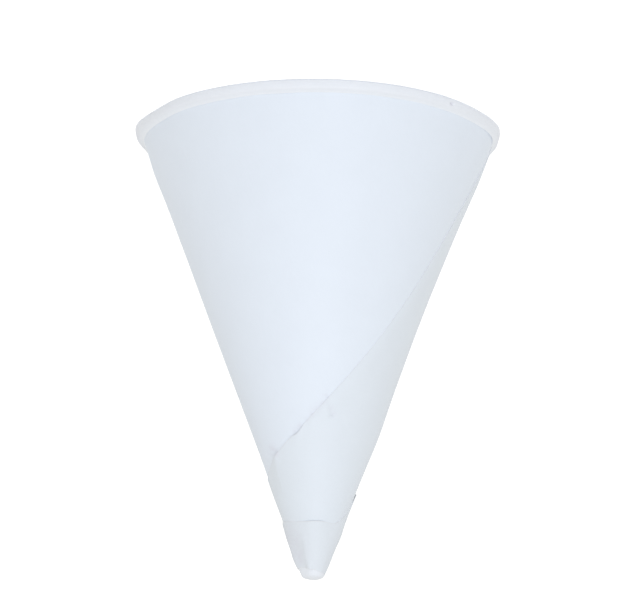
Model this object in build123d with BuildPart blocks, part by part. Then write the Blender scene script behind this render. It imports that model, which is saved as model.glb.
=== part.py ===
from build123d import *
from math import cos, radians, sin, sqrt, tan
import os

os.makedirs("parts", exist_ok=True)

# A cone paper cup, wound from one blank of paper. Lengths in mm, angles in degrees.
# It rests on its rolled rim with the point up: the origin is the middle of the rim's face and +Z
# goes to the point. Angles are counted from +X towards +Y, and the side seen first faces -Y.
# On the unrolled blank a place is given by its run, the distance from the cone's apex.

# Size of the cup
rim_d = 72.0            # across the rolled rim
cup_h = 90.9            # from the rim's face to the end of the point
half_angle = 20.5       # between the wall and the axis
paper_t = 0.20          # one thickness of paper

# Rolled rim: the paper's outer face after the wall, one arc or run at a time
fold_r = 0.30           # fold at the mouth
land_w = 0.17           # pressed flat that the cup rests on
shoulder_r = 0.35       # from the flat up into the outer band
shoulder_turn = 77.0
band_r = 3.1            # nearly flat outer band
band_turn = 22.0
roll_r = 0.73           # the paper turned in towards the wall
roll_turn = 61.0
tail_w = 0.64           # its straight end, which stops just short of the wall

# Outer end of the blank: a slightly bowed cut edge that shows as a slanting seam
seam_gap = 23.65        # run at the point of the edge that is nearest the apex
seam_turn = 56.5        # angle of that point
seam_bow_r = 408.0      # bow of the cut
seam_from = -240.0      # where the edge meets the rim, as an angle from that point
seam_to = 86.0          # how far round the edge goes on past that point
seam_sections = 30

# Inner end of the blank: a straight cut edge under the outer ply, from the rim to the point
climb_turn = 3.0        # angle over which the outer ply climbs onto it
climb_foot = 0.02       # how far the foot of that slope sinks into the ply below
gap_margin = 3.0        # plain wall left at both ends of the slit inside

# Wraps at the point: one more cut edge, and the blunt end of folded layers
wrap_gap = 14.85        # run at the point of the edge that is nearest the apex
wrap_turn = 288.0       # angle of that point
wrap_reach = 150.0      # how far round each way the edge goes
wrap_top = 25.0         # run at which its corner at the back is cut off
wrap_sections = 24
wrap_end_z = 88.6       # height at which the wraps end
wrap_end_tilt = 7.0     # slope of that end
floor_z = 88.1          # inside end of the cone, which is round
crown_turn = 22.0       # slope that the nearly flat end reaches before its edge rounds off
crown_r = 1.15          # rounding of that edge

# Room left round a block that cuts the paper
beyond = 3.0


def wall_point(run, out):
    """Radius and height of a point at this run and this far out of the cone's inner face."""
    lean = radians(half_angle)
    return (
        run * sin(lean) + out * cos(lean),
        apex_z - run * cos(lean) + out * sin(lean),
    )


def run_at(z):
    """Run of the wall at a height."""
    return (apex_z - z) / cos(radians(half_angle))


def cut_edge(turn, gap, bow=0.0):
    """Run of a cut edge of the blank, at an angle round the cone from its nearest point."""
    unrolled = radians(turn) * sin(radians(half_angle))
    if bow == 0:
        return gap / cos(unrolled)
    along = (gap - bow) * cos(unrolled)
    return along + sqrt(along**2 - (gap - bow) ** 2 + bow**2)


def inward(place, heading):
    """Point one thickness to the left of a place on the paper's outer face."""
    return place + Vector(-heading.Y, heading.X) * paper_t


def meridian(turn):
    """Plane through the axis: x points outwards at this angle and y points up."""
    return Plane(
        origin=(0, 0, 0),
        x_dir=(cos(radians(turn)), sin(radians(turn)), 0),
        z_dir=(sin(radians(turn)), -cos(radians(turn)), 0),
    )


# Sizes that follow from those above
bead_reach = (
    fold_r * cos(radians(half_angle))
    + land_w
    + shoulder_r * sin(radians(shoulder_turn))
    + band_r * (1 - sin(radians(shoulder_turn)))
)
fold_x = rim_d / 2 - bead_reach
fold_z = fold_r * (1 - sin(radians(half_angle)))
apex_z = fold_z + fold_x / tan(radians(half_angle))
past_rim = run_at(-beyond)
hidden_end = seam_turn + seam_to

# Inside end of the cone: a ball end that meets the wall smoothly
floor_r = (apex_z - floor_z) / (1 / sin(radians(half_angle)) - 1)
floor_run = floor_r / tan(radians(half_angle))

# Outside end: radius of the flat end that lets its rounded edge run out into the second ply
point_apex_z = apex_z + 2 * paper_t / sin(radians(half_angle))
edge_x = crown_r * (cos(radians(half_angle)) - sin(radians(crown_turn)))
edge_z = crown_r * (cos(radians(crown_turn)) - sin(radians(half_angle)))
flat_r = ((point_apex_z - cup_h + edge_z) * tan(radians(half_angle)) - edge_x) / (
    sin(radians(crown_turn)) - (1 - cos(radians(crown_turn))) * tan(radians(half_angle))
)

# One ply with the rolled rim: outer face of the paper first, then back along its inner face
with BuildPart() as shell:
    with BuildSketch(Plane.XZ):
        with BuildLine():
            wall = Line(wall_point(floor_run, 0), (fold_x, fold_z))
            fold = JernArc(wall @ 1, wall % 1, fold_r, 90 - half_angle)
            land = Line(fold @ 1, (fold @ 1) + Vector(land_w, 0))
            shoulder = JernArc(land @ 1, land % 1, shoulder_r, shoulder_turn)
            band = JernArc(shoulder @ 1, shoulder % 1, band_r, band_turn)
            roll = JernArc(band @ 1, band % 1, roll_r, roll_turn)
            tail = Line(roll @ 1, (roll @ 1) + (roll % 1) * tail_w)
            Polyline(
                tail @ 1,
                inward(tail @ 1, tail % 1),
                inward(roll @ 1, roll % 1),
                inward(band @ 1, band % 1),
                inward(band @ 0, band % 0),
                inward(land @ 1, land % 1),
                inward(land @ 0, land % 0),
                inward(wall @ 1, wall % 1),
                inward(wall @ 0, wall % 0),
                wall @ 0,
            )
            bead_top_z = (tail @ 1).Y
        make_face()
    revolve(axis=Axis.Z)

# Folded point: the layers of the blank's corner pressed into a blunt, rounded end
with BuildPart() as point:
    with BuildSketch(Plane.XZ):
        with BuildLine():
            crown = JernArc((0, cup_h), (1, 0), flat_r, -crown_turn)
            edge = JernArc(crown @ 1, crown % 1, crown_r, crown_turn + half_angle - 90)
            flank = Line(edge @ 1, wall_point(floor_run, 2 * paper_t))
            step = Line(flank @ 1, wall_point(floor_run, 0))
            ball = JernArc((0, floor_z), (1, 0), floor_r, half_angle - 90)
            core = Line((0, floor_z), (0, cup_h))
        make_face()
    revolve(axis=Axis.Z)

# Everything on the rim side of the slanting seam
with BuildPart() as above_seam:
    for section in range(seam_sections + 1):
        turn = seam_from + (seam_to - seam_from) * section / seam_sections
        edge_run = cut_edge(turn, seam_gap, seam_bow_r)
        with BuildSketch(meridian(seam_turn + turn)):
            Polygon(
                wall_point(edge_run, -beyond),
                wall_point(edge_run, beyond),
                wall_point(past_rim, beyond),
                wall_point(past_rim, -beyond),
                align=None,
            )
    loft()

# Outside of the slope where the outer ply leaves the hidden inner end of the blank
with BuildPart() as climb:
    for turn, out in ((0, paper_t - climb_foot), (climb_turn, 2 * paper_t)):
        with BuildSketch(meridian(hidden_end + turn)):
            Polygon(
                wall_point(cut_edge(seam_to, seam_gap, seam_bow_r), out),
                wall_point(cut_edge(seam_to, seam_gap, seam_bow_r), beyond),
                wall_point(past_rim, beyond),
                wall_point(past_rim, out),
                align=None,
            )
    loft()

# Slit that the slope leaves inside the cup, along the cut face of the hidden end
with BuildPart() as slit:
    for turn, out in ((0, 0), (climb_turn, paper_t)):
        with BuildSketch(meridian(hidden_end + turn)):
            Polygon(
                wall_point(cut_edge(seam_to, seam_gap, seam_bow_r) + gap_margin, -beyond),
                wall_point(cut_edge(seam_to, seam_gap, seam_bow_r) + gap_margin, out),
                wall_point(run_at(bead_top_z + gap_margin), out),
                wall_point(run_at(bead_top_z + gap_margin), -beyond),
                align=None,
            )
    loft()

# Outer ply: the second thickness, on the point's side of the seam
end_cut = Plane(
    origin=(0, 0, wrap_end_z),
    z_dir=(sin(radians(wrap_end_tilt)), 0, cos(radians(wrap_end_tilt))),
)
with BuildPart() as outer_ply:
    with BuildSketch(Plane.XZ):
        Polygon(
            wall_point(run_at(bead_top_z), paper_t / 2),
            wall_point(run_at(bead_top_z), 2 * paper_t),
            wall_point(run_at(cup_h), 2 * paper_t),
            wall_point(run_at(cup_h), paper_t / 2),
            align=None,
        )
    revolve(axis=Axis.Z)
    add(above_seam.part, mode=Mode.SUBTRACT)
    add(climb.part, mode=Mode.SUBTRACT)
    split(bisect_by=end_cut, keep=Keep.BOTTOM)

# Everything on the rim side of the edge that wraps the point
with BuildPart() as above_wrap:
    for section in range(wrap_sections + 1):
        turn = wrap_reach * (2 * section / wrap_sections - 1)
        edge_run = cut_edge(turn, wrap_gap)
        with BuildSketch(meridian(wrap_turn + turn)):
            Polygon(
                wall_point(edge_run, -beyond / 2),
                wall_point(edge_run, beyond),
                wall_point(wrap_top + beyond, beyond),
                wall_point(wrap_top + beyond, -beyond / 2),
                align=None,
            )
    loft()

# Third thickness, wrapped round the point
with BuildPart() as wrap:
    with BuildSketch(Plane.XZ):
        Polygon(
            wall_point(wrap_top, 1.5 * paper_t),
            wall_point(wrap_top, 3 * paper_t),
            wall_point(run_at(cup_h), 3 * paper_t),
            wall_point(run_at(cup_h), 1.5 * paper_t),
            align=None,
        )
    revolve(axis=Axis.Z)
    add(above_wrap.part, mode=Mode.SUBTRACT)
    split(bisect_by=end_cut, keep=Keep.BOTTOM)

# The cup: all thicknesses are the same glued sheet
with BuildPart() as cone_cup:
    add(shell.part)
    add(point.part)
    add(outer_ply.part)
    add(wrap.part)
    add(slit.part, mode=Mode.SUBTRACT)

cone_cup.part.label = "cone_cup"
export_step(cone_cup.part, "parts/cone_cup.step")
print("volume", round(cone_cup.part.volume, 1), "mm3, solids", len(cone_cup.solids()))
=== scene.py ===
"""A cone paper cup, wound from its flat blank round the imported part, on a plain pale floor.

The cup rests on its rolled rim with the point up, as the part does, and lengths are in metres.
The blank is laid out flat, as it is cut, and every place on it is known by two numbers: its turn,
counted from the inner end through nearly three rounds, and its run, the distance from the apex.
Geometry Nodes wind it onto the cone, so each layer lies on the one below.
"""

from math import ceil, cos, degrees, exp, pi, radians, sin, sqrt, tan, tau

import bpy
import numpy as np
from bpy.props import FloatProperty, FloatVectorProperty, IntProperty, PointerProperty
from mathutils import Matrix, Vector


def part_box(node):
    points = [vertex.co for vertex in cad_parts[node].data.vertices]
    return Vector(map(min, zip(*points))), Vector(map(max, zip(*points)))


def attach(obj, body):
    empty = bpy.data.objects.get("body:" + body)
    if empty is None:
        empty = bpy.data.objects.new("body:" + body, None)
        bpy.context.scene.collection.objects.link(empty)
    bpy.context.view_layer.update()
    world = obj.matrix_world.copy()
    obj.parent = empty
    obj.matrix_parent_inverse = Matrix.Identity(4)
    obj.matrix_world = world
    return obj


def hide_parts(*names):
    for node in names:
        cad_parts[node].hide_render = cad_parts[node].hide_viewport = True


bl_info = {
    "name": "Cone paper cup",
    "version": (1, 0, 0),
    "blender": (4, 5, 0),
    "location": "3D View > Sidebar > Paper Cup",
    "description": "Winds a cone paper cup from its flat blank, with a floor, light and camera",
    "category": "Object",
}

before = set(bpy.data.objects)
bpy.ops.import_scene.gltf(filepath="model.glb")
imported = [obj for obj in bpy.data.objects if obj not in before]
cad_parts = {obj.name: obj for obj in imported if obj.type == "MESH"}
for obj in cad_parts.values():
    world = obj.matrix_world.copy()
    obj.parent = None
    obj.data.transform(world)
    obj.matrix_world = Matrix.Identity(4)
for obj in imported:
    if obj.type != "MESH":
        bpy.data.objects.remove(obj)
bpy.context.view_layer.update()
CUP_LOW, CUP_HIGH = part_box("cone_cup")

MM = 0.001
GRAIN_SCALE = 10.0      # the paper's grain is laid out in decimetres


# Settings


def number(name, description, default, **kind):
    """A number to set."""
    return FloatProperty(name=name, description=description, default=default, **kind)


def length(name, description, default, precision=4):
    """A length to set, in metres."""
    return number(name, description, default,
                  subtype="DISTANCE", unit="LENGTH", precision=precision)


def fine_length(name, description, default):
    """A length of at most a few millimetres to set, in metres."""
    return length(name, description, default, precision=6)


def angle(name, description, default):
    """An angle to set, with its default in degrees; it is kept in radians."""
    return number(name, description, radians(default), subtype="ANGLE")


def colour(name, description, default):
    """A colour to set."""
    return FloatVectorProperty(name=name, description=description, default=default,
                               size=3, subtype="COLOR", min=0, max=1)


class CupSizes(bpy.types.PropertyGroup):
    """Sizes of the blank, its rolled rim and its wound layers."""

    rim_width: length("Rim Width", "Width across the rolled rim", CUP_HIGH.x - CUP_LOW.x)
    height: length("Height", "From the rim's face to the end of the point", CUP_HIGH.z - CUP_LOW.z)
    half_angle: angle("Half Angle", "Angle between the wall and the cup's axis", 20.5)
    paper: fine_length("Paper", "One thickness of paper", 0.20 * MM)
    ply_gap: fine_length("Ply Gap", "Air and glue between two layers", 0.03 * MM)
    fold_radius: fine_length(
        "Fold Radius", "Fold at the mouth, on the paper's outer face", 0.30 * MM)
    land_width: fine_length("Land Width", "Flat ring that the cup rests on", 0.17 * MM)
    shoulder_radius: fine_length(
        "Shoulder Radius", "Turn from the flat ring into the outer band", 0.35 * MM)
    shoulder_turn: angle("Shoulder Turn", "Angle of that turn", 77.0)
    band_radius: fine_length("Band Radius", "Nearly flat outer band of the rim", 3.1 * MM)
    band_turn: angle("Band Turn", "Angle of that band", 22.0)
    roll_radius: fine_length("Roll Radius", "Paper turned in towards the wall", 0.73 * MM)
    roll_turn: angle("Roll Turn", "Angle of that turn", 61.0)
    tail_width: fine_length("Tail Width", "Straight end of the roll", 0.98 * MM)
    tuck_height: fine_length(
        "Tuck Height", "Height at which the outer layer goes in behind the roll", 1.75 * MM)
    inner_end: angle(
        "Inner End", "Angle at which the paper starts to climb onto its hidden inner end", 142.5)
    climb: angle("Climb", "Angle that one climb takes", 4.0)
    seam_gap: length(
        "Seam Gap", "Run of the slanting seam where it is nearest the apex", 23.65 * MM)
    seam_turn: angle("Seam Turn", "Turn of that place, in the second round", 416.5)
    seam_bow: length("Seam Bow", "Radius of the bowed cut edge that makes the seam", 408.0 * MM)
    wrap_gap: length("Wrap Gap", "Run of the wrap's edge where it is nearest the apex", 14.85 * MM)
    wrap_turn: angle("Wrap Turn", "Turn of that place, in the third round", 648.0)
    wrap_top: length("Wrap Top", "Run at which the wrap's corner is cut off", 25.0 * MM)
    wrap_end: length("Wrap End", "Height at which the wraps end", 89.4 * MM)
    wrap_slope: angle("Wrap Slope", "Slope of that end", 15.0)
    floor_height: length("Floor Height", "Height of the inside end of the cone", 88.1 * MM)
    crown_plies: number(
        "Crown Plies", "Thicknesses of paper pressed into the blunt end's side", 2.7)
    crown_turn: angle(
        "Crown Turn", "Slope that the blunt end reaches before its edge rounds off", 22.0)
    crown_radius: fine_length("Crown Radius", "Rounding of the blunt end's edge", 0.95 * MM)


class CupWear(bpy.types.PropertyGroup):
    """How far the wound paper leaves the true cone."""

    unevenness: fine_length("Unevenness", "Slow waves of the wall", 0.10 * MM)
    unevenness_size: length("Unevenness Size", "Length of those waves", 34.0 * MM)
    rim_play: fine_length("Rim Play", "How unevenly the rim is rolled", 0.12 * MM)
    press: fine_length(
        "Press", "How far a glued cut edge is pressed into the layer below", 0.11 * MM)
    lift_reach: fine_length(
        "Lift Reach", "How far behind a cut edge its lifting or pressing reaches", 2.4 * MM)
    seed: IntProperty(name="Seed", description="Start of the random unevenness", default=11)


class PaperFinish(bpy.types.PropertyGroup):
    """Colour and surface of the paper."""

    single_colour: colour(
        "Single Paper", "Colour of the smooth white paper where one layer shows",
        (0.80, 0.855, 0.925))
    # Painted shade: the paper is darker where one more layer lies under it, as if less light shone
    # through
    layered_shade_colour: colour(
        "Layered Paper", "Colour where one more layer lies under it", (0.771, 0.821, 0.872))
    # Partly the rolled paper's own greyer tint and partly painted light: it is lighter than the
    # wall, to lift the rim out of the shade near the floor
    pressed_tint_and_light_colour: colour(
        "Pressed Paper", "Colour where the paper is rolled or folded hard", (0.845, 0.870, 0.912))
    # Painted shade: the last wraps at the point are darker still
    wrapped_shade_colour: colour(
        "Wrapped Paper", "Colour of the last wraps at the point", (0.755, 0.798, 0.842))
    # Painted shade: cut faces and a narrow band along each cut are greyed, so cut faces that catch
    # the light don't show as bright lines
    cut_painted_shade: colour("Cut Edge", "Colour of the cut edges", (0.780, 0.790, 0.808))
    # Painted light: the roll's end is made paler to lift the shade in the hollow where it meets the
    # wall
    lip_painted_light: colour(
        "Roll's Lip", "Colour at the roll's end, where the paper is stretched thin",
        (0.90, 0.925, 0.955))
    # Tint of the smudges, which are partly soiled marks and partly painted shade
    smudge_and_shade_colour: colour(
        "Smudge", "Colour of the soiled places on the wall and the rim", (0.69, 0.68, 0.75))
    # Reach of that painted shade along each cut, and of the lip's painted light
    cut_width: fine_length(
        "Cut Width", "How far the tint of a cut reaches onto the face", 0.14 * MM)
    roughness: number("Roughness", "Roughness of the smooth paper", 0.55, min=0, max=1)
    fibre_depth: fine_length("Fibre Depth", "Height of the paper's fibres", 0.012 * MM)


class StudioSettings(bpy.types.PropertyGroup):
    """Floor, light and camera."""

    floor_colour: colour("Floor", "Colour of the pale floor", (0.90, 0.90, 0.90))
    floor_glow: number(
        "Floor Glow", "What the camera sees added to the floor, so it shows white", 0.55, min=0)
    sky_strength: number("Sky", "Strength of the even light from all round", 0.76, min=0)
    sky_colour: colour("Sky Colour", "Tint of the even light", (1.0, 0.99, 0.965))
    lamp_power: number(
        "Front Lamp", "Power of the soft lamp in front", 0.76, min=0, unit="POWER")
    lamp_colour: colour("Lamp Colour", "Tint of the lamp, as cool daylight", (0.80, 0.86, 0.985))
    lamp_place: FloatVectorProperty(
        name="Lamp Place", description="Middle of the lamp", size=3, subtype="XYZ_LENGTH",
        unit="LENGTH", default=(-0.05, -0.48, 0.28))
    lamp_width: length("Lamp Width", "Width of the lamp", 0.30)
    camera_distance: length(
        "Camera Distance", "From the camera to the middle of the cup", 809.4 * MM)
    camera_height: angle("Camera Height", "Angle of the camera above the horizon", 14.639)
    camera_roll: angle(
        "Camera Roll", "Lean of the picture; half a turn shows the point at the bottom", 180.451)
    camera_middle: length(
        "Camera Middle", "Height of the point that the distance is measured from", 42.65 * MM)
    camera_aim: FloatVectorProperty(
        name="Camera Aim", description="Point at the middle of the picture", size=3,
        subtype="XYZ_LENGTH", unit="LENGTH", precision=5,
        default=(1.403 * MM, -1.765 * MM, 35.894 * MM))
    camera_lens: number("Camera Lens", "Focal length in millimetres", 238.5)


# The blank


def wall_place(size, run, out):
    """Radius and height of a point at this run and this far out of the cone's inner face."""
    return (
        run * sin(size.half_angle) + out * cos(size.half_angle),
        apex_height(size) - run * cos(size.half_angle) + out * sin(size.half_angle),
    )


def fold_radius_at_wall(size):
    """Radius at which the wall's inner face turns into the fold at the mouth."""
    reach = (
        size.fold_radius * cos(size.half_angle)
        + size.land_width
        + size.shoulder_radius * sin(size.shoulder_turn)
        + size.band_radius * (1 - sin(size.shoulder_turn))
    )
    return size.rim_width / 2 - reach


def apex_height(size):
    """Height at which the wall's inner face would come to a sharp end."""
    fold_height = size.fold_radius * (1 - sin(size.half_angle))
    return fold_height + fold_radius_at_wall(size) / tan(size.half_angle)


def cut_edge(turn, gap, bow=0.0, half_angle=0.0):
    """Run of a cut edge of the blank, at an angle round the cone from its nearest point."""
    unrolled = turn * sin(half_angle)
    if not bow:
        return gap / cos(unrolled)
    along = (gap - bow) * cos(unrolled)
    return along + sqrt(along**2 - (gap - bow) ** 2 + bow**2)


SECTION_STEP = 2.0      # most that the fine line turns from one point to the next, in degrees
SHOULDER = 3            # the stretch, counted from 0, along which the paper becomes rolled


def section_steps(size):
    """The middle of the paper, from apex to roll's end: length, turn and rows of each stretch."""
    half = size.paper / 2
    fold_turn = pi / 2 - size.half_angle
    return (
        (fold_radius_at_wall(size) / sin(size.half_angle), 0.0, 1),
        ((size.fold_radius - half) * fold_turn, fold_turn, 5),
        (size.land_width, 0.0, 1),
        ((size.shoulder_radius - half) * size.shoulder_turn, size.shoulder_turn, 6),
        ((size.band_radius - half) * size.band_turn, size.band_turn, 7),
        ((size.roll_radius - half) * size.roll_turn, size.roll_turn, 5),
        (size.tail_width, 0.0, 2),
    )


def section_places(size):
    """The same line as fine points: run, radius and height of each."""
    radius, height = wall_place(size, 0.0, size.paper / 2)
    heading = size.half_angle - pi / 2
    run = 0.0
    places = [(run, radius, height)]
    for length, turn, _ in section_steps(size):
        parts = max(1, ceil(degrees(turn) / SECTION_STEP))
        chord = length / parts
        if turn:
            chord = 2 * (length / turn) * sin(turn / parts / 2)
        for _ in range(parts):
            heading += turn / parts / 2
            radius += chord * cos(heading)
            height += chord * sin(heading)
            heading += turn / parts / 2
            run += length / parts
            places.append((run, radius, height))
    return places


def add_object(name, data):
    """A new object in the scene that holds this mesh, curve, lamp or camera."""
    made = bpy.data.objects.new(name, data)
    bpy.context.scene.collection.objects.link(made)
    return made


def section_curve(size):
    """An object with the cup's section as one fine open line, which the winding follows."""
    places = section_places(size)
    data = bpy.data.curves.new("cup_section", "CURVE")
    data.dimensions = "3D"
    spline = data.splines.new("POLY")
    spline.points.add(len(places) - 1)
    for point, (_, radius, height) in zip(spline.points, places):
        point.co = (radius, 0.0, height, 1.0)
    return add_object("cup_section", data)


def tuck_run(size):
    """Run at which the outer layer goes in behind the roll, and the rim's ring begins."""
    return (apex_height(size) - size.tuck_height) / cos(size.half_angle)


def point_ball(size):
    """Radius of the round inside end of the cone, and the run at which it meets the wall."""
    radius = (apex_height(size) - size.floor_height) / (1 / sin(size.half_angle) - 1)
    return radius, radius / tan(size.half_angle)


def outer_edge(size, turn):
    """Run at which the blank ends on the rim's side, at this turn."""
    second_climb = size.inner_end + tau

    def seam(at):
        return hills(SEAM_NOTCHES, at) + cut_edge(
            at - size.seam_turn, size.seam_gap, size.seam_bow, size.half_angle)

    if turn <= size.inner_end + size.climb:
        return tuck_run(size)
    if turn <= second_climb:
        return min(tuck_run(size), seam(turn))
    share = min(1.0, (turn - second_climb) / size.climb)
    wrap = min(size.wrap_top, cut_edge(turn - size.wrap_turn, size.wrap_gap, 0, size.half_angle))
    wrap += hills(WRAP_CORNERS, turn)
    return seam(second_climb) * (1 - share) + wrap * share


END_PLIES = 2.5     # thicknesses from the cone's inner face to the middle of the third layer


def point_edge(size, turn):
    """Run at which the blank ends on the point's side, at this turn."""
    second_climb = size.inner_end + tau
    under_crown = point_ball(size)[1]
    if turn <= second_climb:
        return under_crown
    out = END_PLIES * size.paper + 2 * size.ply_gap
    lean, slope, side = size.half_angle, size.wrap_slope, cos(turn)
    top = out * cos(lean) * side * sin(slope) + (
        apex_height(size) + out * sin(lean) - size.wrap_end) * cos(slope)
    end = top / (cos(lean) * cos(slope) - sin(lean) * side * sin(slope))
    share = min(1.0, (turn - second_climb) / size.climb)
    return under_crown * (1 - share) + end * share


# Columns of the blank: angles between them, and the turns where they are close together, in degrees
PLAIN_STEP, SEAM_STEP, NICK_STEP, WRAP_STEP = 2.0, 1.0, 0.5, 2.5
LAST_TURN = 716.0       # from the inner end, just short of a third climb
SAME_TURN = 1e-6        # turns closer than this are the same, in radians
SEAM_TURNS, NICK_TURNS = (172.0, 346.0), (-141.5, -133.0)

# Rows of the blank: how far from the outer edge the last ones are, in mm, and the number of others
EDGE_ROWS = (0.0, 0.2, 0.5, 0.9, 1.4, 2.1, 3.0, 4.2)
WALL_ROWS = 56
CREASED_RUNS = (31.0, 40.0)     # runs between which the wall has small creases, in mm
CREASED_ROWS = 4.5              # how many times closer together the rows are there


def blank_turns(size):
    """Turns of the blank's columns, from its inner end through three rounds."""
    first, climb = degrees(size.inner_end), degrees(size.climb)
    second = first + 360
    marks = [
        (first - 360 + climb, NICK_TURNS[0], PLAIN_STEP),
        (*NICK_TURNS, NICK_STEP),
        (NICK_TURNS[1], first, PLAIN_STEP),
        (first, first + climb, SEAM_STEP),
        (first + climb, SEAM_TURNS[0], PLAIN_STEP),
        (*SEAM_TURNS, SEAM_STEP),
        (SEAM_TURNS[1], second, PLAIN_STEP),
        (second, second + climb, SEAM_STEP),
        (second + climb, first + LAST_TURN, WRAP_STEP),
    ]
    turns = [marks[0][0]]
    for start, stop, step in marks:
        parts = max(1, round((stop - start) / step))
        turns += [start + (stop - start) * part / parts for part in range(1, parts + 1)]
    return [radians(turn) for turn in turns]


def blank_rows(size, turn):
    """Runs of one column, from the point's side to the outer edge, closer together near it."""
    low, high = point_edge(size, turn), outer_edge(size, turn)
    near = [high - row * MM for row in EDGE_ROWS]
    start, stop = (min(max(mark * MM, low), near[-1]) for mark in CREASED_RUNS)
    marks = np.array([low, start, stop, near[-1]])
    shares = np.cumsum([0.0, start - low, (stop - start) * CREASED_ROWS, near[-1] - stop])
    rows = np.interp(np.arange(WALL_ROWS) / WALL_ROWS * shares[-1], shares, marks)
    return [float(run) for run in rows] + near[::-1]


# Hills along an edge: turn and half-width in degrees, height in mm
SEAM_LIFTS = (
    (286.5, 7.0, 0.30), (303.0, 8.0, 0.12), (317.0, 5.0, 0.34), (360.0, 16.0, 0.10),
    (272.0, 2.5, 0.10), (265.0, 2.0, 0.07), (259.5, 2.5, 0.12), (228.0, 22.0, -0.05),
    (190.0, 14.0, 0.05),
)
SEAM_NOTCHES = ((286.0, 5.5, -0.6),)
WRAP_LIFTS = (
    (534.0, 9.0, 0.17), (588.0, 12.0, -0.06), (619.0, 11.0, 0.20), (640.0, 11.0, 0.18),
    (676.0, 14.0, -0.09), (722.0, 16.0, 0.16),
)
END_LIFTS = ((646.0, 14.0, 0.34),)
WRAP_CORNERS = ((534.0, 9.0, 2.7), (520.0, 8.0, 1.25), (582.0, 26.0, -1.3), (726.0, 18.0, -1.2))

# Where the rim is pinched: angle and half-width in degrees, then how far out it is at the mouth
# and at the roll's end, in mm
RIM_EARS = (
    (-8.0, 9.5, 0.68, 0.08), (11.0, 9.0, -0.60, -0.85), (-28.0, 9.0, -0.45, -0.30),
    (190.0, 13.0, 0.80, 0.42), (168.0, 9.0, -0.10, -0.40),
)
EAR_HEIGHT = 2.3    # height of the roll's end, in mm
EAR_REACH = 7.0     # how far above it an ear fades out, in mm

# Hills along the roll's end: where it stands off the wall, and where it is short
ROLL_OPENING = (187.0, 8.0, 0.09)
ROLL_SHORT = (192.0, 12.0, 0.28)
LIP_LIGHT_SHARE = 0.12        # how fast the painted light at the roll's lip fades, as a share of a cut's

OVERLAP_STOP = 180.0    # angle at which two layers stop going under the roll, in degrees
OVERLAP_RAMP = 4.0      # over how many degrees the rim swells there, and thins again

# Dents of the wall, in every layer: angle and run of the middle, half-widths in degrees and mm,
# then how far out, in mm
DENTS = (
    (178.0, 92.0, 26.0, 8.0, 0.48),
    (178.0, 62.0, 28.0, 16.0, -0.36),
    (178.0, 34.0, 26.0, 7.0, 0.30),
    (2.0, 92.5, 22.0, 4.5, 0.24),
    (6.0, 21.0, 28.0, 6.0, 0.14),
    (3.0, 12.6, 30.0, 2.2, 0.26),
    (178.0, 12.8, 26.0, 2.0, 0.18),
    (8.0, 7.5, 34.0, 4.0, 0.58),
)

# Facets pressed flat between two folds: middle and half-width in degrees, the runs between which
# they lie in mm, and how flat they are
FACETS = (
    (325.0, 29.0, 4.0, 11.5, 0.9),
    (342.0, 20.0, 21.5, 28.0, 0.5),
    (206.0, 20.0, 3.0, 9.0, 0.6),
)
FACET_FADE = 2.5        # run over which a facet fades out, in mm
CROWN_DENT_RUN = 5.5    # the blunt end takes the dents of the wall at this run, in mm

# Creases: angle and run of both ends, half-width and depth in mm
CREASES = (
    (259.5, 39.0, 255.0, 35.8, 0.42, -0.20),
    (255.0, 35.8, 244.0, 35.0, 0.50, -0.14),
    (264.5, 37.4, 271.5, 35.6, 0.40, -0.12),
    (222.5, 53.0, 212.0, 46.5, 1.10, 0.06),
)

# The nick: angle in degrees, then height, half-widths round and up, and how far out, in mm
RIM_NICK = (223.0, 1.15, 0.50, 0.28, -0.50)

# Smudges and painted shade: soiled marks along the seam, and painted shade under the seam's lifted
# edge, in the rim's nick, on the left flank and near the point, with three darker patches at one
# end of the rim: angle in degrees and run in mm of the middle, reach in mm, and how strong
SMUDGES_AND_SHADES = (
    (320.5, 29.2, 1.3, 0.50), (316.8, 28.6, 0.7, 0.55), (264.0, 37.9, 0.55, 0.55),
    (269.0, 36.9, 0.80, 0.36), (272.5, 35.7, 0.60, 0.44), (277.0, 34.6, 0.50, 0.32),
    (261.5, 39.3, 0.60, 0.30), (256.2, 37.2, 0.60, 0.32), (254.5, 35.9, 0.60, 0.42),
    (223.0, 101.95, 0.32, 1.60), (283.2, 33.6, 0.45, 0.34), (286.2, 33.1, 0.50, 0.36),
    (289.4, 32.5, 0.45, 0.34), (352.5, 101.7, 1.2, 0.35), (356.0, 101.6, 1.2, 0.45),
    (359.5, 101.6, 1.2, 0.45), (337.0, 12.0, 2.6, 0.40), (331.0, 8.0, 1.6, 0.45),
)


def swell(distance, reach):
    """A smooth hill of height 1: falls to about a third at one reach."""
    return exp(-((distance / reach) ** 2))


def hill(shape, at):
    """Height of one hill at this angle, in mm."""
    middle, reach, height = shape
    return height * swell(at - middle, reach)


def hills(shapes, turn):
    """Height of an edge's hills together at this turn, in metres."""
    return sum(hill(shape, degrees(turn)) for shape in shapes) * MM


def apart(at, middle):
    """Angle between two directions round the cup, from -180 to 180 degrees."""
    return (at - middle + 180) % 360 - 180


def ease(value):
    """0 below 0 and 1 above 1, with a smooth rise between."""
    value = min(1.0, max(0.0, value))
    return value * value * (3 - 2 * value)


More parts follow.
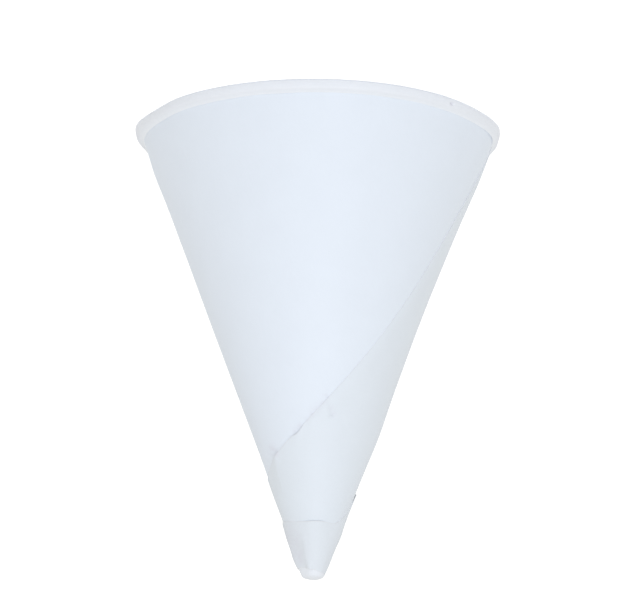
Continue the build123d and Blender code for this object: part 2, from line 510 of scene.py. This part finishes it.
class Wall:
    """How far the wound paper leaves the true cone, and where it is smudged or darkened with
    painted shade.
    """

    def __init__(self, size, wear):
        self.size = size
        self.wear = wear
        self.runs, self.radii, self.heights = np.array(section_places(size)).T / MM

    def on_flat(self, angle, run):
        """Place on the flat blank, in mm, of an angle in degrees and a run in mm."""
        fan = radians(angle) * sin(self.size.half_angle)
        return Vector((run * cos(fan), run * sin(fan)))

    def crease_out(self, at, along):
        """How far the creases stand out, in mm."""
        here = self.on_flat(at, along)
        out = 0.0
        for start_angle, start_run, end_angle, end_run, reach, depth in CREASES:
            start, end = self.on_flat(start_angle, start_run), self.on_flat(end_angle, end_run)
            line = end - start
            share = min(1.0, max(0.0, (here - start).dot(line) / line.length_squared))
            out += depth * swell((here - start - line * share).length, reach)
        return out

    def facet_out(self, at, along):
        """How far the facets lie in from the round wall, in mm."""
        out = 0.0
        for middle, half, low, high, flatness in FACETS:
            away = apart(at, middle)
            if abs(away) < half:
                chord = cos(radians(half)) / cos(radians(away)) - 1
                fade = ease((along - low) / FACET_FADE + 0.5)
                fade *= ease((high - along) / FACET_FADE + 0.5)
                out += flatness * chord * fade * along * sin(self.size.half_angle)
        return out

    def rim_out(self, at, along):
        """How far the pinched ears and the nick put the rim and the wall next to it out, in mm."""
        height = float(np.interp(along, self.runs, self.heights))
        up = min(1.0, height / EAR_HEIGHT)
        fade = 1 - ease((height - EAR_HEIGHT) / EAR_REACH)
        out = fade * sum((mouth * (1 - up) + tail * up) * swell(apart(at, middle), reach)
                         for middle, reach, mouth, tail in RIM_EARS)
        angle, middle, round_reach, up_reach, depth = RIM_NICK
        if along > self.runs[1]:
            radius = float(np.interp(along, self.runs, self.radii))
            away = radians(apart(at, angle)) * radius
            out += depth * swell(away, round_reach) * swell(height - middle, up_reach)
        return out

    def out(self, turn, run):
        """How far the wall stands out of the true cone, at this turn and run."""
        at, along = degrees(turn) % 360, run / MM
        dents = sum(depth * swell(apart(at, middle), reach) * swell(along - place, span)
                    for middle, place, reach, span, depth in DENTS)
        return MM * (dents + self.crease_out(at, along) + self.facet_out(at, along)
                     + self.rim_out(at, along))

    def smudge_and_shade(self, turn, run):
        """How strongly smudges and painted shade tint the paper; 1 and more is the full tint."""
        at, along = degrees(turn), run / MM
        total = 0.0
        for angle, place, reach, strength in SMUDGES_AND_SHADES:
            away = self.on_flat(apart(at, angle), along) - self.on_flat(0.0, place)
            total += strength * swell(away.length, reach)
        return total

    def lift(self, turn, behind_edge, before_end):
        """How far the sheet stands off the layer below, near its outer edge and its end cut."""
        total = 0.0
        for away, lifts in ((behind_edge, SEAM_LIFTS + WRAP_LIFTS), (before_end, END_LIFTS)):
            height = hills(lifts, turn) - self.wear.press
            total += height * (1 - ease(away / self.wear.lift_reach))
        return total


def overlap_share(turn, size):
    """1 where two layers go under the rolled rim, 0 elsewhere round the rim."""
    at = degrees(turn) % 360
    start = degrees(size.inner_end)
    rise = min(1.0, max(0.0, (at - start) / OVERLAP_RAMP))
    fall = min(1.0, max(0.0, (OVERLAP_STOP - at) / OVERLAP_RAMP))
    return rise * fall


class Blank:
    """The flat blank while it is laid out: its corners, what is known at each, and its faces."""

    FACTS = ("turn", "run", "to_cut", "lift", "dent", "rolled", "spread", "plies", "smudge_and_shade")

    def __init__(self, wall):
        self.wall = wall
        self.size = wall.size
        self.corners = []
        self.facts = {name: [] for name in self.FACTS}
        self.faces = []
        self.face_uv = []

    def add(self, turn, run, to_cut=1.0, lift=0.0, rolled=0.0, spread=0.0):
        """A corner of the blank; away from all cuts, to_cut is one metre."""
        self.corners.append((*self.flat(turn, run), 0.0))
        values = (turn, run, to_cut, lift, self.wall.out(turn, run), rolled, spread,
                  self.plies(turn), self.wall.smudge_and_shade(turn, run))
        for name, value in zip(self.FACTS, values):
            self.facts[name].append(value)
        return len(self.corners) - 1

    def add_loose(self, turn, run, edge, end):
        """A corner of the outer layers, which is lifted or pressed near their edges."""
        before_end = 1.0 if end is None else run - end
        lift = self.wall.lift(turn, edge - run, before_end)
        return self.add(turn, run, to_cut=min(edge - run, before_end), lift=lift)

    def plies(self, turn):
        """Layers of paper under this one."""
        return sum(ease((turn - self.size.inner_end - rounds) / self.size.climb)
                   for rounds in (0.0, tau))

    def join_columns(self, here, there):
        """Faces between two columns, each given by its turn, its corners and their runs."""
        turn, made, runs = here
        next_turn, next_made, next_runs = there
        for row in range(len(made) - 1):
            self.faces.append((made[row], made[row + 1], next_made[row + 1], next_made[row]))
            self.face_uv += (self.flat(turn, runs[row]), self.flat(turn, runs[row + 1]),
                             self.flat(next_turn, next_runs[row + 1]),
                             self.flat(next_turn, next_runs[row]))

    def flat(self, turn, run):
        """Place on the flat blank."""
        fan = turn * sin(self.size.half_angle)
        return run * cos(fan), run * sin(fan)


def rim_rows(size):
    """Runs of the rim's rows, with how far each is rolled: 0 on the wall, 1 past the flat ring."""
    run = tuck_run(size)
    steps = section_steps(size)
    fold_run = steps[0][0]
    rows = [(run, 0.0), ((run + fold_run) / 2, 0.0), (fold_run, 0.0)]
    at = fold_run
    for index, (length, _, parts) in enumerate(steps[1:], start=1):
        for part in range(1, parts + 1):
            share = part / parts if index == SHOULDER else float(index > SHOULDER)
            rows.append((at + length * part / parts, share))
        at += length
    return rows


def paper_mesh(name, corners, faces, facts, places):
    """A mesh of paper, with facts at its corners and its faces' places on the flat blank."""
    mesh = bpy.data.meshes.new(name)
    mesh.from_pydata(corners, [], faces)
    for word, values in facts.items():
        mesh.attributes.new(word, "FLOAT", "POINT").data.foreach_set("value", values)
    grain = mesh.uv_layers.new(name="grain")
    grain.uv.foreach_set("vector", np.array(places, np.float32).ravel() * GRAIN_SCALE)
    mesh.update()
    return mesh


def lay_out_rim(blank, ring_turns):
    """The corners and faces of the rolled rim, a closed ring; returns the corners by column."""
    size = blank.size
    rows = rim_rows(size)
    runs = [run for run, _ in rows]
    roll_start = next(run for run, rolled in rows if rolled >= 1)
    ring = []
    for turn in ring_turns:
        at = degrees(turn) % 360
        swelling = overlap_share(turn, size) * (size.paper + size.ply_gap)
        swelling += hill(ROLL_OPENING, at) * MM
        short = hill(ROLL_SHORT, at) * MM / (runs[-1] - roll_start)
        # to_cut here sets how far the painted light at the roll's lip reaches
        ring.append([blank.add(turn, run - max(0.0, run - roll_start) * short, rolled=rolled,
                               to_cut=(runs[-1] - run) * LIP_LIGHT_SHARE, spread=rolled * swelling)
                     for run, rolled in rows])
    for column, turn in enumerate(ring_turns):
        following = (column + 1) % len(ring_turns)
        next_turn = ring_turns[following] if following else size.inner_end
        blank.join_columns((turn, ring[column], runs), (next_turn, ring[following], runs))
    return ring


def lay_out_blank(wall):
    """The blank as one flat mesh: the wound sheet, and the ring of its rolled rim joined to it."""
    size = wall.size
    blank = Blank(wall)
    first = size.inner_end
    wraps = first + tau + size.climb
    turns = blank_turns(size)
    ring_turns = [first - tau] + [turn for turn in turns if turn < first - SAME_TURN]
    ring = lay_out_rim(blank, ring_turns)
    sheet = []
    for index, turn in enumerate(turns):
        runs = blank_rows(size, turn)
        if turn <= first + SAME_TURN:
            made = [blank.add(turn, run) for run in runs[:-1]]
            made.append(ring[(index + 1) % len(ring_turns)][0])
        else:
            end = runs[0] if turn > wraps - SAME_TURN else None
            made = [blank.add_loose(turn, run, runs[-1], end) for run in runs]
        sheet.append((turn, made, runs))
    for here, there in zip(sheet, sheet[1:]):
        blank.join_columns(here, there)
    return paper_mesh("flat_blank", blank.corners, blank.faces, blank.facts, blank.face_uv)


# Winding


def node(tree, kind, inputs=(), **settings):
    """Adds a node, sets it, and joins or sets its inputs, which are given by place or name."""
    made = tree.nodes.new(kind)
    for name, value in settings.items():
        setattr(made, name, value)
    pairs = inputs.items() if isinstance(inputs, dict) else enumerate(inputs)
    for place, value in pairs:
        if isinstance(value, bpy.types.NodeSocket):
            tree.links.new(value, made.inputs[place])
        else:
            made.inputs[place].default_value = value
    return made


def result(tree, kind, inputs=(), **settings):
    """Adds a node in the same way, and returns its first output."""
    return node(tree, kind, inputs, **settings).outputs[0]


def sum_up(tree, operation, *values):
    """One Math node's result."""
    return result(tree, "ShaderNodeMath", values, operation=operation)


def plus(tree, one, other):
    """The sum of two numbers."""
    return sum_up(tree, "ADD", one, other)


def times(tree, one, other):
    """The product of two numbers."""
    return sum_up(tree, "MULTIPLY", one, other)


def vector(tree, operation, *values):
    """One Vector Math node's result."""
    places = (0, 3) if operation == "SCALE" else (0, 1)
    return result(tree, "ShaderNodeVectorMath", dict(zip(places, values)), operation=operation)


def remap(tree, value, *limits, **settings):
    """A number moved from one range to another: from low and high, to low and high."""
    return result(tree, "ShaderNodeMapRange", (value, *limits), **settings)


def turned(tree, place, turn):
    """A place turned round the cup's axis."""
    return result(tree, "ShaderNodeVectorRotate", {"Vector": place, "Angle": turn},
                  rotation_type="Z_AXIS")


def fact(tree, name):
    """A number kept at each corner of the blank."""
    made = node(tree, "GeometryNodeInputNamedAttribute", {"Name": name}, data_type="FLOAT")
    return next(socket for socket in made.outputs if socket.enabled and socket.name == "Attribute")


# Name, kind of socket, and what a number measures
WINDING_INPUTS = (
    ("Geometry", "Geometry", None),
    ("Section", "Object", None),
    ("Paper", "Float", "DISTANCE"),
    ("Ply Gap", "Float", "DISTANCE"),
    ("Climb Start", "Float", "ANGLE"),
    ("Climb", "Float", "ANGLE"),
    ("Unevenness", "Float", "DISTANCE"),
    ("Unevenness Size", "Float", "DISTANCE"),
    ("Rim Play", "Float", "DISTANCE"),
    ("Seed", "Float", None),
    ("Paper Material", "Material", None),
)

# Noise of the rim's rolling and of the wall's waves, and how much each is made larger, because
# noise keeps near its middle
RIPPLE_NOISE, RIPPLE_GAIN = {"Scale": 170.0, "Detail": 1.0}, 2.0
WAVE_NOISE, WAVE_GAIN = {"Detail": 1.5, "Roughness": 0.35}, 4.0
WAVE_SEED = 5.0     # added to the seed, so the waves differ from the ripple


def winding_tree():
    """Geometry Nodes that wind the flat blank round the cone and roll its rim."""
    tree = bpy.data.node_groups.new("wind_blank", "GeometryNodeTree")
    tree.is_modifier = True
    for name, kind, subtype in WINDING_INPUTS:
        socket = tree.interface.new_socket(
            name, in_out="INPUT", socket_type="NodeSocket" + kind)
        if subtype:
            socket.subtype = subtype
    tree.interface.new_socket("Geometry", in_out="OUTPUT", socket_type="NodeSocketGeometry")
    given = node(tree, "NodeGroupInput").outputs
    turn, run = fact(tree, "turn"), fact(tree, "run")

    # Layers: one more thickness out after each climb onto the layer below
    layers = 0.0
    for rounds in (0.0, tau):
        start = plus(tree, given["Climb Start"], rounds)
        layers = plus(tree, layers, remap(
            tree, turn, start, plus(tree, start, given["Climb"]), 0.0, 1.0,
            interpolation_type="SMOOTHSTEP"))
    out = times(tree, layers, plus(tree, given["Paper"], given["Ply Gap"]))
    out = plus(tree, fact(tree, "lift"), out)

    # Place in the section, and the way out of the paper's face there
    section = node(tree, "GeometryNodeObjectInfo", {"Object": given["Section"]}).outputs["Geometry"]
    sampled = node(tree, "GeometryNodeSampleCurve", {"Curves": section, "Length": run},
                   mode="LENGTH", data_type="FLOAT").outputs
    tangent = node(tree, "ShaderNodeSeparateXYZ", (sampled["Tangent"],)).outputs
    outward = result(tree, "ShaderNodeCombineXYZ", (
        times(tree, tangent["Z"], -1.0), 0.0, tangent["X"]))
    base = turned(tree, sampled["Position"], turn)

    # Uneven rolling of the rim, along the paper's face
    ripple = result(tree, "ShaderNodeTexNoise", {
        "Vector": base, "W": given["Seed"], **RIPPLE_NOISE}, noise_dimensions="4D")
    ripple = times(tree, sum_up(tree, "SUBTRACT", ripple, 0.5), given["Rim Play"])
    rolled = times(tree, fact(tree, "rolled"), RIPPLE_GAIN)
    out = sum_up(tree, "MULTIPLY_ADD", ripple, rolled, out)
    place = vector(tree, "ADD", sampled["Position"], vector(tree, "SCALE", outward, out))

    # Everything that moves all layers together goes straight out from the axis
    waves = result(tree, "ShaderNodeTexNoise", {
        "Vector": base, "W": plus(tree, given["Seed"], WAVE_SEED),
        "Scale": sum_up(tree, "DIVIDE", 1.0, given["Unevenness Size"]), **WAVE_NOISE},
        noise_dimensions="4D")
    waves = times(tree, sum_up(tree, "SUBTRACT", waves, 0.5),
                  times(tree, given["Unevenness"], WAVE_GAIN))
    aside = plus(tree, plus(tree, waves, fact(tree, "dent")), fact(tree, "spread"))
    place = vector(tree, "ADD", place, result(tree, "ShaderNodeCombineXYZ", (aside, 0.0, 0.0)))

    moved = result(tree, "GeometryNodeSetPosition", {
        "Geometry": given["Geometry"], "Position": turned(tree, place, turn)})
    real = result(tree, "GeometryNodeRealizeInstances", {"Geometry": moved})
    finished = result(tree, "GeometryNodeSetMaterial", {
        "Geometry": real, "Material": given["Paper Material"]})
    node(tree, "NodeGroupOutput", {"Geometry": finished})
    return tree


def wind(blank_mesh, size, wear, paper, cut_paper):
    """Winds the blank, gives it its thickness, and returns the result as a plain mesh."""
    section = section_curve(size)
    holder = add_object("winding_blank", blank_mesh)
    blank_mesh.materials.append(paper)
    blank_mesh.materials.append(cut_paper)
    tree = winding_tree()
    values = {
        "Section": section, "Paper": size.paper, "Ply Gap": size.ply_gap,
        "Climb Start": size.inner_end, "Climb": size.climb,
        "Unevenness": wear.unevenness, "Unevenness Size": wear.unevenness_size,
        "Rim Play": wear.rim_play, "Seed": float(wear.seed), "Paper Material": paper,
    }
    modifier = holder.modifiers.new("wind", "NODES")
    modifier.node_group = tree
    for socket in tree.interface.items_tree:
        if socket.item_type == "SOCKET" and socket.in_out == "INPUT" and socket.name in values:
            modifier[socket.identifier] = values[socket.name]
    thickness = holder.modifiers.new("thickness", "SOLIDIFY")
    thickness.thickness = size.paper
    thickness.offset = 0.0
    thickness.material_offset_rim = 1
    graph = bpy.context.evaluated_depsgraph_get()
    graph.update()
    mesh = bpy.data.meshes.new_from_object(holder.evaluated_get(graph), depsgraph=graph)
    for leftover in (holder, section):
        bpy.data.objects.remove(leftover)
    return mesh


# The folded point


CROWN_PARTS = 8             # parts of each arc of the outline
FLANK_SHARES = (0.4, 1.0)   # rows of its straight side
POINT_COLUMNS = 72
POINT_FACTS = {"plies": 2.0, "rolled": 0.75, "to_cut": 1.0}     # at each corner, for its tint with painted shade and painted light
SHARP_ANGLE = 50            # from which a fold counts as a cut edge, in degrees


def crown_profile(size):
    """Radius and height of the folded point's outline, from its outside middle to the inside."""
    lean, turn, edge = size.half_angle, size.crown_turn, size.crown_radius
    end_apex = apex_height(size) + size.crown_plies * size.paper / sin(lean)
    edge_x = edge * (cos(lean) - sin(turn))
    edge_z = edge * (cos(turn) - sin(lean))
    flat = ((end_apex - size.height + edge_z) * tan(lean) - edge_x) / (
        sin(turn) - (1 - cos(turn)) * tan(lean))
    ball, ball_run = point_ball(size)
    outline = []
    for part in range(CROWN_PARTS + 1):
        at = turn * part / CROWN_PARTS
        outline.append((flat * sin(at), size.height - flat * (1 - cos(at))))
    middle = (outline[-1][0] - edge * sin(turn), outline[-1][1] - edge * cos(turn))
    for part in range(1, CROWN_PARTS + 1):
        at = turn + (pi / 2 - lean - turn) * part / CROWN_PARTS
        outline.append((middle[0] + edge * sin(at), middle[1] + edge * cos(at)))
    high, low = outline[-1], wall_place(size, ball_run, size.crown_plies * size.paper)
    for share in FLANK_SHARES:
        outline.append((high[0] + (low[0] - high[0]) * share, high[1] + (low[1] - high[1]) * share))
    for part in range(CROWN_PARTS + 1):
        at = (pi / 2 - lean) * (1 - part / CROWN_PARTS)
        outline.append((ball * sin(at), size.floor_height - ball * (1 - cos(at))))
    return outline


def fold_point(wall, paper):
    """The blank's corner, pressed into a blunt closed end."""
    size = wall.size
    outline = crown_profile(size)
    flank = max(radius for radius, _ in outline)
    corners = [(0.0, 0.0, outline[0][1])]
    rows = []
    for radius, height in outline[1:-1]:
        rows.append(len(corners))
        run = (apex_height(size) - height) / cos(size.half_angle)
        for column in range(POINT_COLUMNS):
            at = tau * column / POINT_COLUMNS
            out = wall.out(at, max(run, CROWN_DENT_RUN * MM)) * min(1.0, radius / flank)
            corners.append(((radius + out) * cos(at), (radius + out) * sin(at), height))
    corners.append((0.0, 0.0, outline[-1][1]))
    faces = []
    for column in range(POINT_COLUMNS):
        following = (column + 1) % POINT_COLUMNS
        faces.append((0, rows[0] + column, rows[0] + following))
        for upper, lower in zip(rows, rows[1:]):
            faces.append((upper + column, lower + column, lower + following, upper + following))
        faces.append((rows[-1] + column, len(corners) - 1, rows[-1] + following))
    facts = {name: [value] * len(corners) for name, value in POINT_FACTS.items()}
    places = [corners[corner][:2] for face in faces for corner in face]
    mesh = paper_mesh("folded_point", corners, faces, facts, places)
    mesh.materials.append(paper)
    return mesh


def join_meshes(name, meshes):
    """One object from several meshes, with smooth faces and sharp cut edges."""
    objects = [add_object(name, mesh) for mesh in meshes]
    with bpy.context.temp_override(active_object=objects[0], selected_editable_objects=objects,
                                   selected_objects=objects):
        bpy.ops.object.join()
    joined = objects[0]
    joined.name = name
    joined.data.name = name
    mesh = joined.data
    mesh.polygons.foreach_set("use_smooth", [True] * len(mesh.polygons))
    mesh.set_sharp_from_angle(angle=radians(SHARP_ANGLE))
    mesh.update()
    return joined


# Finishes


# The paper's grain on the flat blank: noises, their turn and stretch, and what each one changes
BLOTCHES = {"Scale": 90.0, "Detail": 2.0}
CLOUDS = {"Scale": 14.0, "Detail": 3.0, "Roughness": 0.55}
FIBRES = {"Scale": 1.0, "Detail": 4.0, "Roughness": 0.6, "Distortion": 0.6}
FIBRE_STRETCH = {"Rotation": (0, 0, 0.6), "Scale": (60.0, 210.0, 1.0)}
BLOTCH_RANGE = (0.35, 0.65, 0.3, 1.0)       # noise, and how much of a smudge and its painted shade it keeps
PLAIN_SHADE, CLOUD_SHADE, FIBRE_SHADE = 0.982, 0.035, 0.030
FIBRE_RANGE = (0.3, 0.7)
SMOOTHER, ROUGHER = 0.06, 0.08              # how far the fibres change the roughness
FACE_BUMP, CUT_BUMP = 0.35, 0.6


def kept(tree, name):
    """A number that the blank keeps at each corner, as a material reads it."""
    return node(tree, "ShaderNodeAttribute", attribute_name=name).outputs["Fac"]


def colour_mix(tree, share, low, high):
    """Mixes two colours, each a colour or a socket; a share past 1 counts as 1."""
    made = node(tree, "ShaderNodeMix", data_type="RGBA", factor_mode="UNIFORM")
    for place, value in (("Factor_Float", share), ("A_Color", low), ("B_Color", high)):
        socket = next(item for item in made.inputs if item.identifier == place)
        if isinstance(value, bpy.types.NodeSocket):
            tree.links.new(value, socket)
        else:
            socket.default_value = value if place == "Factor_Float" else (*value, 1.0)
    return next(item for item in made.outputs if item.identifier == "Result_Color")


def cleared_tree(holder):
    """The node tree of a new material or world, with nothing in it yet."""
    holder.use_nodes = True
    holder.node_tree.nodes.clear()
    return holder.node_tree


def paper_colour(tree, grain, finish, cut):
    """Tint by layers as painted shade, hard rolling's tint with painted light, painted shade near a
    cut, painted light at the roll's lip, and smudges that are partly painted shade.
    """
    plies, rolled = kept(tree, "plies"), kept(tree, "rolled")
    # Painted shade, darker by the layers under the face
    base = colour_mix(tree, plies, finish.single_colour, finish.layered_shade_colour)
    base = colour_mix(tree, sum_up(tree, "SUBTRACT", plies, 1.0), base, finish.wrapped_shade_colour)
    # Tint and painted light where the paper is rolled or pressed
    base = colour_mix(tree, rolled, base, finish.pressed_tint_and_light_colour)
    # Painted shade on cut edges, and painted light at the roll's lip
    edge = colour_mix(tree, rolled, finish.cut_painted_shade, finish.lip_painted_light)
    # Painted shade along each cut, and the lip's painted light, fade within the cut width
    near_cut = remap(tree, kept(tree, "to_cut"), 0.0, finish.cut_width, 1.0, 0.0)
    base = colour_mix(tree, 1.0 if cut else near_cut, base, edge)
    # Smudges, partly soiled marks and partly painted shade, broken up by blotches
    blotches = result(tree, "ShaderNodeTexNoise", {"Vector": grain, **BLOTCHES})
    soiled_or_shaded = times(tree, kept(tree, "smudge_and_shade"), remap(tree, blotches, *BLOTCH_RANGE))
    return colour_mix(tree, soiled_or_shaded, base, finish.smudge_and_shade_colour)


def paper_material(name, finish, cut=False):
    """Matt white paper: cloudy, with fine fibres, and tinted by what the blank keeps."""
    material = bpy.data.materials.new(name)
    tree = cleared_tree(material)
    grain = result(tree, "ShaderNodeUVMap", uv_map="grain")
    clouds = result(tree, "ShaderNodeTexNoise", {"Vector": grain, **CLOUDS})
    stretched = result(tree, "ShaderNodeMapping", {"Vector": grain, **FIBRE_STRETCH})
    fibres = result(tree, "ShaderNodeTexNoise", {"Vector": stretched, **FIBRES})
    shade = sum_up(tree, "MULTIPLY_ADD", clouds, CLOUD_SHADE, PLAIN_SHADE)
    shade = sum_up(tree, "MULTIPLY_ADD", fibres, FIBRE_SHADE,
                   sum_up(tree, "SUBTRACT", shade, FIBRE_SHADE / 2))
    bump = result(tree, "ShaderNodeBump", {
        "Strength": CUT_BUMP if cut else FACE_BUMP, "Distance": finish.fibre_depth,
        "Height": fibres})
    shader = result(tree, "ShaderNodeBsdfPrincipled", {
        "Base Color": vector(tree, "SCALE", paper_colour(tree, grain, finish, cut), shade),
        "Roughness": remap(tree, fibres, *FIBRE_RANGE,
                           finish.roughness - SMOOTHER, finish.roughness + ROUGHER),
        "Specular IOR Level": 0.5, "Normal": bump})
    node(tree, "ShaderNodeOutputMaterial", {"Surface": shader})
    return material


def floor_material(studio):
    """Pale matt floor, shown white to the camera; what lights it and shades it stays as it is."""
    material = bpy.data.materials.new("pale_floor")
    tree = cleared_tree(material)
    surface = result(tree, "ShaderNodeBsdfDiffuse", {"Color": (*studio.floor_colour, 1.0)})
    glow = result(tree, "ShaderNodeEmission", {
        "Color": (1.0, 1.0, 1.0, 1.0),
        "Strength": times(tree, seen_directly(tree), studio.floor_glow)})
    both = result(tree, "ShaderNodeAddShader", (surface, glow))
    node(tree, "ShaderNodeOutputMaterial", {"Surface": both})
    return material


def seen_directly(tree):
    """1 for what the camera sees, straight or in gloss or glass, and 0 for what lights the cup."""
    path = node(tree, "ShaderNodeLightPath").outputs
    seen = sum_up(tree, "MAXIMUM", path["Is Camera Ray"], path["Is Glossy Ray"])
    return sum_up(tree, "MAXIMUM", seen, path["Is Transmission Ray"])


# Operators


class PAPERCUP_OT_wind_cup(bpy.types.Operator):
    """Lay out the blank, wind it, fold its point, and put it in the part's place"""

    bl_idname = "paper_cup.wind_cup"
    bl_label = "Wind Cup"

    def execute(self, context):
        scene = context.scene
        size, wear, finish = scene.cup_sizes, scene.cup_wear, scene.paper_finish
        paper = paper_material("white_cup_paper", finish)
        cut_paper = paper_material("cut_paper_edge", finish, cut=True)
        wall = Wall(size, wear)
        wound = wind(lay_out_blank(wall), size, wear, paper, cut_paper)
        cup = join_meshes("wound_paper_cup", [wound, fold_point(wall, paper)])
        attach(cup, "root")
        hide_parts("cone_cup")
        return {"FINISHED"}


FLOOR_REACH, FLOOR_COLUMNS = 3.0, 64
FLOOR_DROP = 0.02 * MM              # keeps the floor clear of the rim's own flat
LAMP_AIM = Vector((0, 0, 0.045))    # the middle of the cup
CAMERA_REACH = (0.01, 20.0)         # nearest and farthest that the camera sees


class PAPERCUP_OT_set_studio(bpy.types.Operator):
    """Set the pale floor, the soft light and the camera"""

    bl_idname = "paper_cup.set_studio"
    bl_label = "Set Studio"

    def execute(self, context):
        studio = context.scene.studio_settings
        self.make_floor(studio)
        self.make_light(context, studio)
        self.make_camera(context, studio)
        return {"FINISHED"}

    def make_floor(self, studio):
        columns = range(FLOOR_COLUMNS)
        turns = [tau * column / FLOOR_COLUMNS for column in columns]
        ring = [(FLOOR_REACH * cos(turn), FLOOR_REACH * sin(turn), 0.0) for turn in turns]
        faces = [(0, 1 + column, 1 + (column + 1) % FLOOR_COLUMNS) for column in columns]
        mesh = bpy.data.meshes.new("pale_floor")
        mesh.from_pydata([(0, 0, 0)] + ring, [], faces)
        mesh.materials.append(floor_material(studio))
        floor = add_object("pale_floor", mesh)
        floor.location.z = -FLOOR_DROP

    def make_light(self, context, studio):
        world = bpy.data.worlds.new("soft_studio")
        context.scene.world = world
        tree = cleared_tree(world)
        strength = remap(tree, seen_directly(tree), 0.0, 1.0, studio.sky_strength, 1.0)
        sky = result(tree, "ShaderNodeBackground", {
            "Color": (*studio.sky_colour, 1.0), "Strength": strength})
        node(tree, "ShaderNodeOutputWorld", {"Surface": sky})
        lamp = bpy.data.lights.new("front_softbox", "AREA")
        lamp.shape = "DISK"
        lamp.size = studio.lamp_width
        lamp.energy = studio.lamp_power
        lamp.color = studio.lamp_colour
        softbox = add_object("front_softbox", lamp)
        softbox.location = studio.lamp_place
        softbox.rotation_euler = (LAMP_AIM - softbox.location).to_track_quat("-Z", "Y").to_euler()
        softbox.visible_camera = False

    def make_camera(self, context, studio):
        data = bpy.data.cameras.new("photo_camera")
        data.sensor_width = 36.0
        data.lens = studio.camera_lens
        data.clip_start, data.clip_end = CAMERA_REACH
        camera = add_object("photo_camera", data)
        rise = studio.camera_height
        back = Vector((0.0, -cos(rise), sin(rise)))
        place = Vector((0.0, 0.0, studio.camera_middle)) + back * studio.camera_distance
        look = (Vector(studio.camera_aim) - place).normalized()
        level = look.to_track_quat("-Z", "Y").to_matrix().to_4x4()
        lean = Matrix.Rotation(studio.camera_roll, 4, "Z")
        camera.matrix_world = Matrix.Translation(place) @ level @ lean
        context.scene.camera = camera
        context.scene.view_settings.view_transform = "Standard"


class PAPERCUP_PT_panel(bpy.types.Panel):
    """Lists what makes the cup and its studio"""

    bl_idname = "PAPERCUP_PT_panel"
    bl_label = "Paper Cup"
    bl_space_type = "VIEW_3D"
    bl_region_type = "UI"
    bl_category = "Paper Cup"

    def draw(self, context):
        layout, scene = self.layout, context.scene
        for operator, settings in (
            (PAPERCUP_OT_wind_cup, (scene.cup_sizes, scene.cup_wear, scene.paper_finish)),
            (PAPERCUP_OT_set_studio, (scene.studio_settings,)),
        ):
            layout.operator(operator.bl_idname)
            for group in settings:
                for name in group.bl_rna.properties.keys():
                    if name not in ("rna_type", "name"):
                        layout.prop(group, name)


CLASSES = (CupSizes, CupWear, PaperFinish, StudioSettings,
           PAPERCUP_OT_wind_cup, PAPERCUP_OT_set_studio, PAPERCUP_PT_panel)
SETTINGS = {"cup_sizes": CupSizes, "cup_wear": CupWear, "paper_finish": PaperFinish,
            "studio_settings": StudioSettings}


def register():
    for item in CLASSES:
        bpy.utils.register_class(item)
    for name, group in SETTINGS.items():
        setattr(bpy.types.Scene, name, PointerProperty(type=group))


def unregister():
    for name in SETTINGS:
        delattr(bpy.types.Scene, name)
    for item in reversed(CLASSES):
        bpy.utils.unregister_class(item)


def main():
    register()
    bpy.ops.paper_cup.wind_cup()
    bpy.ops.paper_cup.set_studio()


if __name__ == "__main__":
    main()
